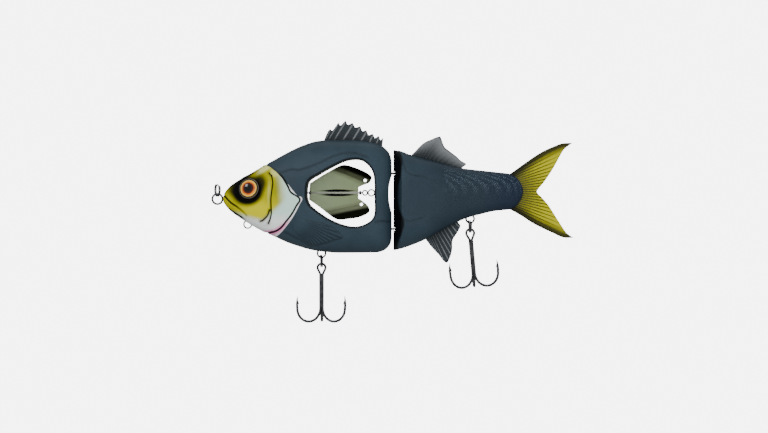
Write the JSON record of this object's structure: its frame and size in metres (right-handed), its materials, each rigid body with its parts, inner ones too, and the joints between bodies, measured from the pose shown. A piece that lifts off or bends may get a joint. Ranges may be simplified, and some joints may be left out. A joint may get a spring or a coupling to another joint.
{
  "type": "swimbait lure",
  "caption": "Jointed glide swimbait: finned fish body with a spinning blade in a through window, swinging tail section, split rings and hanging treble hooks.",
  "frame": {"origin": "centre of the fixed line eye on the nose", "axes": "+X from the nose to the tail, +Y to the fish's right side, +Z to its back"},
  "size_m": [0.2071, 0.0305, 0.1154],
  "materials": {
    "slate_paint": "matte dark slate paint over moulded ABS; head painted yellow and white",
    "soft_grey": "soft dark grey fin plastic, slightly see-through",
    "soft_yellow": "soft yellow tail plastic with dark leading edges",
    "eye_lens": "domed clear lens over an orange iris",
    "dark_nickel": "black nickel hook wire",
    "bright_wire": "nickel or stainless wire",
    "blade_metal": "polished nickel blade",
    "ballast_lead": "cast ballast slug"
  },
  "bodies": {
    "root": {"front_shell_left": "slate_paint", "front_shell_right": "slate_paint", "eye_left": "eye_lens", "eye_right": "eye_lens", "front_dorsal_fin": "soft_grey", "nose_eye": "bright_wire", "chin_eye": "bright_wire", "belly_hanger": "bright_wire", "hinge_eye_upper": "bright_wire", "hinge_eye_lower": "bright_wire", "prop_shaft": "bright_wire", "front_ballast": "ballast_lead"},
    "rear_body": {"rear_shell_left": "slate_paint", "rear_shell_right": "slate_paint", "rear_dorsal_fin": "soft_grey", "anal_fin": "soft_grey", "tail_fin": "soft_yellow", "tail_pin": "bright_wire", "hinge_pin": "bright_wire", "rear_hanger": "bright_wire", "rear_ballast": "ballast_lead"},
    "prop": {"prop_blade": "blade_metal", "prop_bead_front": "bright_wire", "prop_bead_rear": "bright_wire"},
    "nose_ring": {"nose_ring": "bright_wire"},
    "front_ring": {"front_split_ring": "bright_wire"},
    "front_hook": {"front_hook": "dark_nickel"},
    "rear_ring": {"rear_split_ring": "bright_wire"},
    "rear_hook": {"rear_hook": "dark_nickel"}
  },
  "joints": [
    {"name": "body_joint", "type": "hinge", "parent": "root", "child": "rear_body", "pos_m": [0.1028, 0, 0], "axis": [0, 0, 1], "range_deg": [-28, 28]},
    {"name": "prop_spin", "type": "hinge", "parent": "root", "child": "prop", "pos_m": [0.07, 0, 0.00354], "axis": [1, 0, 0], "continuous": true},
    {"name": "nose_ring_swing", "type": "hinge", "parent": "root", "child": "nose_ring", "pos_m": [0, 0, 0], "axis": [0, -1, 0], "range_deg": [-8, 185]},
    {"name": "front_ring_swing", "type": "hinge", "parent": "root", "child": "front_ring", "pos_m": [0.0595, 0, -0.03331], "axis": [1, 0, 0], "range_deg": [-45, 45]},
    {"name": "front_hook_swing", "type": "hinge", "parent": "front_ring", "child": "front_hook", "pos_m": [0.0595, 0, -0.03868], "axis": [0, 1, 0], "range_deg": [-50, 50]},
    {"name": "rear_ring_swing", "type": "hinge", "parent": "rear_body", "child": "rear_ring", "pos_m": [0.1444, 0, -0.01361], "axis": [1, 0, 0], "range_deg": [-45, 45]},
    {"name": "rear_hook_swing", "type": "hinge", "parent": "rear_ring", "child": "rear_hook", "pos_m": [0.1444, 0, -0.01898], "axis": [0, 1, 0], "range_deg": [-45, 35]}
  ]
}
